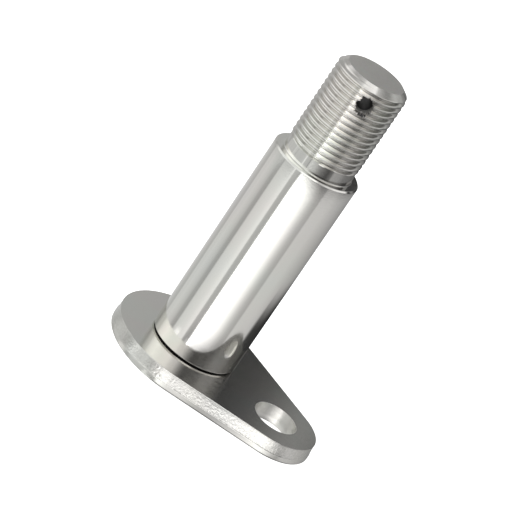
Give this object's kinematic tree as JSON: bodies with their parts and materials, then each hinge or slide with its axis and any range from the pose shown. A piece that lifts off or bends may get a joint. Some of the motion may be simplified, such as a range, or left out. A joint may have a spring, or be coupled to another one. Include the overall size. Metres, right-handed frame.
{
  "type": "tie rod pin",
  "caption": "Zinc-plated steel pin with a threaded end and cotter hole, welded into a teardrop keeper flag with a bolt hole.",
  "frame": {"origin": "on the pin's axis, at the flag plate's back face", "axes": "+Z along the pin towards its threaded end, +X from the pin towards the flag's tip and its keeper hole"},
  "size_m": [0.0577, 0.04, 0.0845],
  "materials": {
    "pin_zinc": "turned steel with bright clear-passivated zinc plating",
    "flag_zinc": "rolled and punched steel with satin clear-passivated zinc plating",
    "weld_zinc": "ground weld metal under zinc plating"
  },
  "bodies": {
    "root": {"threaded_pin": "pin_zinc", "flag_plate": "flag_zinc", "back_weld": "weld_zinc"}
  },
  "joints": []
}
